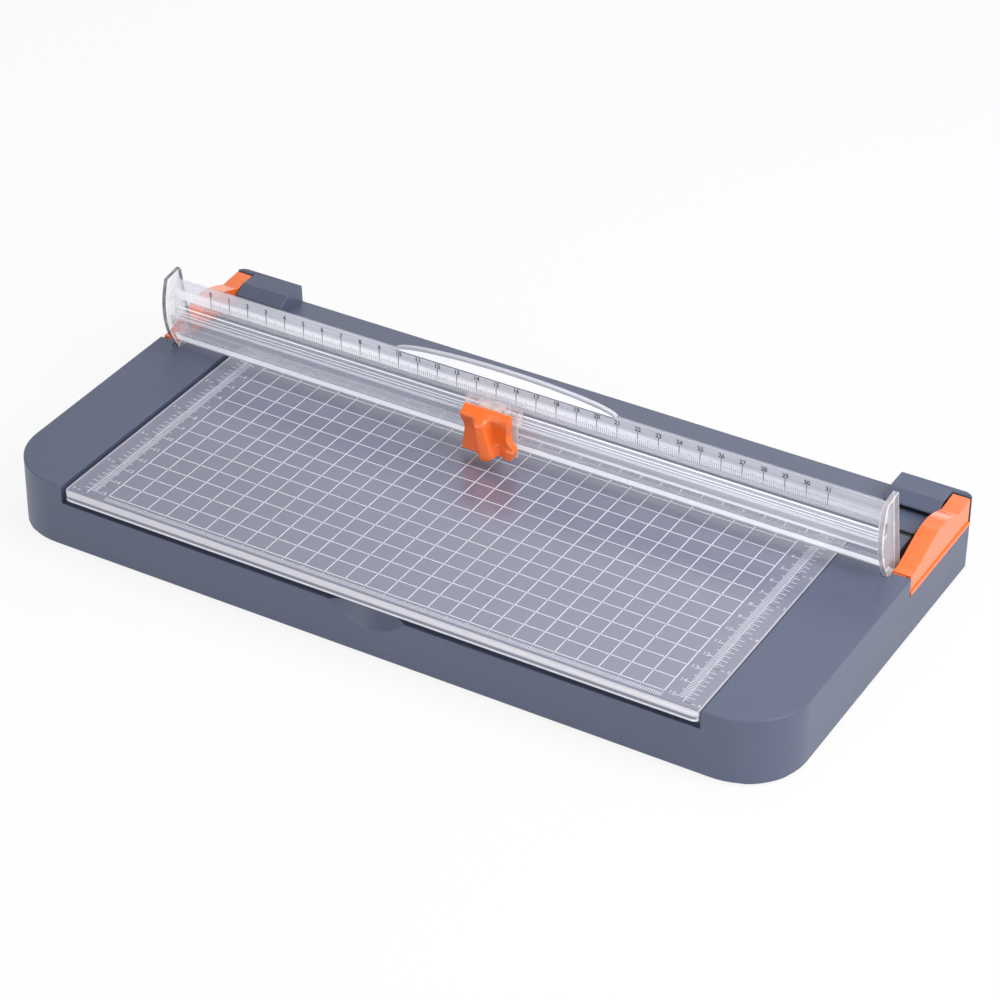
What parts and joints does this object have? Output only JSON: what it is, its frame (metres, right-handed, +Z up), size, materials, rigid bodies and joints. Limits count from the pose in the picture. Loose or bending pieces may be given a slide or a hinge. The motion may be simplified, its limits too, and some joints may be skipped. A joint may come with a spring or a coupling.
{
  "type": "paper trimmer",
  "caption": "Desk paper trimmer: a low base with a storage tray under a clear gridded lid, a hinged clear ruler arm with a sliding press-to-cut head, and a lift lever beside each end of the arm",
  "frame": {"origin": "middle of the trimmer's footprint, on the surface its feet stand on", "axes": "+X along the ruler arm to the right seen from the front, +Y from the lid's lip towards the rear hoods, +Z up"},
  "size_m": [0.38, 0.194, 0.0746],
  "materials": {
    "base_plastic": "slate blue-grey moulding with a satin surface",
    "orange_plastic": "bright orange moulding with a soft gloss",
    "clear_plastic": "clear polished plastic",
    "lid_plastic": "clear plastic with a light frost and a printed grid",
    "milky_plastic": "natural acetal",
    "clamp_rubber": "translucent soft rubber",
    "dark_plastic": "black moulding",
    "rubber": "black rubber",
    "steel": "plain steel"
  },
  "bodies": {
    "base": {"base_shell": "base_plastic", "bottom_cover": "base_plastic", "bottom_screws": "steel", "rubber_feet": "rubber", "cutting_strip": "dark_plastic", "hinge_pins": "steel"},
    "lid": {"grid_lid": "lid_plastic"},
    "arm": {"ruler_beam": "clear_plastic", "left_end_cap": "clear_plastic", "right_end_cap": "clear_plastic", "arm_bushes": "milky_plastic", "clamp_strip": "clamp_rubber"},
    "slider": {"slider_runner": "milky_plastic", "grip_springs": "steel"},
    "grip": {"slider_grip": "orange_plastic", "blade_holder": "milky_plastic", "blade_axle": "steel", "blade_washers": "steel"},
    "blade": {"blade_wheel": "steel"},
    "left_lift": {"left_lever": "orange_plastic"},
    "right_lift": {"right_lever": "orange_plastic"}
  },
  "joints": [
    {"name": "arm_swing", "type": "hinge", "parent": "base", "child": "arm", "pos_m": [0, 0.033, 0.0295], "axis": [-1, 0, 0], "range_deg": [0, 90]},
    {"name": "slider_travel", "type": "slide", "parent": "arm", "child": "slider", "axis": [1, 0, 0], "range_m": [-0.156, 0.171]},
    {"name": "blade_press", "type": "slide", "parent": "slider", "child": "grip", "axis": [0, 1, 0], "range_m": [0, 0.0016], "stiffness_N_per_m": 300, "springref_m": -0.002, "deforming": ["grip_springs"]},
    {"name": "blade_spin", "type": "hinge", "parent": "grip", "child": "blade", "pos_m": [-0.0074, 0.0226, 0.0565], "axis": [0, 0, 1], "continuous": true},
    {"name": "lid_slide", "type": "slide", "parent": "base", "child": "lid", "axis": [0, -1, 0], "range_m": [0, 0.12]},
    {"name": "left_lift_swing", "type": "hinge", "parent": "base", "child": "left_lift", "pos_m": [-0.185, 0.033, 0.0295], "axis": [1, 0, 0], "range_deg": [0, 12]},
    {"name": "right_lift_swing", "type": "hinge", "parent": "base", "child": "right_lift", "pos_m": [0.185, 0.033, 0.0295], "axis": [1, 0, 0], "range_deg": [0, 12]}
  ]
}
